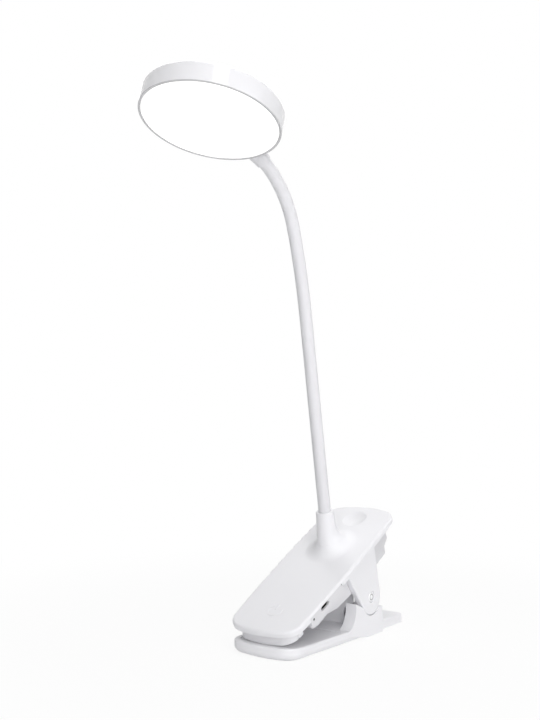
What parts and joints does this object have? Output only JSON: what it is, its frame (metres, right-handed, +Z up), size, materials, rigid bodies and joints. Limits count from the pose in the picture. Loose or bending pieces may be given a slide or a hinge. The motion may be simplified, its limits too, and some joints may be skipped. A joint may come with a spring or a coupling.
{
  "type": "clip-on reading lamp",
  "caption": "Clip-on reading lamp: a sprung clip that holds the battery, a bendable neck and a flat round light head.",
  "frame": {"origin": "on the table under the foot pad, straight below the clip's pivot pin", "axes": "+Z up, +Y towards the end of the handle, -Y towards the nose of the clip and the light, X along the pivot pin with the charging socket on +X"},
  "size_m": [0.0828, 0.2196, 0.3308],
  "materials": {
    "shell_plastic": "satin",
    "head_boot": "satin",
    "soft_grip": "matte",
    "neck_sleeve": "satin",
    "neck_core": "satin",
    "diffuser": "matte",
    "spring_steel": "polished",
    "fastener_steel": "zinc plated",
    "board": "satin",
    "light_board": "white coated",
    "chips": "matte",
    "cell_pouch": "satin",
    "tape": "matte",
    "lead_cover": "satin",
    "socket_metal": "satin",
    "socket_tongue": "matte",
    "diode": "satin",
    "light_pipe": "clear",
    "contact_metal": "satin",
    "reflector": "matte"
  },
  "bodies": {
    "lower_jaw": {"lower_jaw": "shell_plastic", "foot_pad": "soft_grip", "lower_grip": "soft_grip", "pivot_pins": "spring_steel", "torsion_spring": "spring_steel"},
    "upper_jaw": {"upper_shell": "shell_plastic", "battery_housing": "shell_plastic", "upper_grip": "soft_grip", "battery": "cell_pouch", "battery_tape": "tape", "battery_leads": "lead_cover", "control_board": "board", "board_chips": "chips", "usb_port_shell": "socket_metal", "usb_port_tongue": "socket_tongue", "charge_led": "diode", "charge_light_pipe": "light_pipe", "touch_foil": "contact_metal", "touch_contact": "contact_metal", "housing_screws": "fastener_steel", "neck_bush": "fastener_steel", "neck_nut": "fastener_steel", "neck_core_0": "neck_core", "neck_sleeve_0": "neck_sleeve"},
    "neck_1": {"neck_core_1": "neck_core", "neck_sleeve_1": "neck_sleeve"},
    "neck_2": {"neck_core_2": "neck_core", "neck_sleeve_2": "neck_sleeve"},
    "neck_3": {"neck_core_3": "neck_core", "neck_sleeve_3": "neck_sleeve"},
    "neck_4": {"neck_core_4": "neck_core", "neck_sleeve_4": "neck_sleeve"},
    "neck_5": {"neck_core_5": "neck_core", "neck_sleeve_5": "neck_sleeve"},
    "neck_6": {"neck_core_6": "neck_core", "neck_sleeve_6": "neck_sleeve"},
    "neck_7": {"neck_core_7": "neck_core", "neck_sleeve_7": "neck_sleeve"},
    "neck_8": {"neck_core_8": "neck_core", "neck_sleeve_8": "neck_sleeve"},
    "head": {"neck_core_9": "neck_core", "neck_sleeve_9": "neck_sleeve", "head_shell": "shell_plastic", "head_boot": "head_boot", "diffuser": "diffuser", "led_board": "light_board", "leds": "diode", "reflector": "reflector", "head_screws": "fastener_steel"}
  },
  "joints": [
    {"name": "jaw_hinge", "type": "hinge", "parent": "lower_jaw", "child": "upper_jaw", "pos_m": [0, 0, 0.0247], "axis": [-1, 0, 0], "range_deg": [0, 30], "stiffness_Nm_per_rad": 0.8, "springref_deg": -34.38, "deforming": ["torsion_spring"]},
    {"name": "neck_bend_1", "type": "hinge", "parent": "upper_jaw", "child": "neck_1", "pos_m": [0, -0.01916, 0.09221], "axis": [1, 0, 0], "range_deg": [-25, 25]},
    {"name": "neck_bend_2", "type": "hinge", "parent": "neck_1", "child": "neck_2", "pos_m": [0, -0.02348, 0.11804], "axis": [0, 0.9863, 0.165], "range_deg": [-25, 25]},
    {"name": "neck_bend_3", "type": "hinge", "parent": "neck_2", "child": "neck_3", "pos_m": [0, -0.0278, 0.14387], "axis": [1, 0, 0], "range_deg": [-25, 25]},
    {"name": "neck_bend_4", "type": "hinge", "parent": "neck_3", "child": "neck_4", "pos_m": [0, -0.03213, 0.16969], "axis": [0, 0.9863, 0.165], "range_deg": [-25, 25]},
    {"name": "neck_bend_5", "type": "hinge", "parent": "neck_4", "child": "neck_5", "pos_m": [0, -0.03645, 0.19552], "axis": [1, 0, 0], "range_deg": [-25, 25]},
    {"name": "neck_bend_6", "type": "hinge", "parent": "neck_5", "child": "neck_6", "pos_m": [0, -0.04112, 0.22128], "axis": [0, 0.9784, 0.2068], "range_deg": [-25, 25]},
    {"name": "neck_bend_7", "type": "hinge", "parent": "neck_6", "child": "neck_7", "pos_m": [0, -0.04739, 0.2467], "axis": [1, 0, 0], "range_deg": [-25, 25]},
    {"name": "neck_bend_8", "type": "hinge", "parent": "neck_7", "child": "neck_8", "pos_m": [0, -0.05613, 0.27133], "axis": [0, 0.8789, 0.477], "range_deg": [-25, 25]},
    {"name": "neck_bend_9", "type": "hinge", "parent": "neck_8", "child": "head", "pos_m": [0, -0.07317, 0.29093], "axis": [1, 0, 0], "range_deg": [-25, 25]}
  ]
}
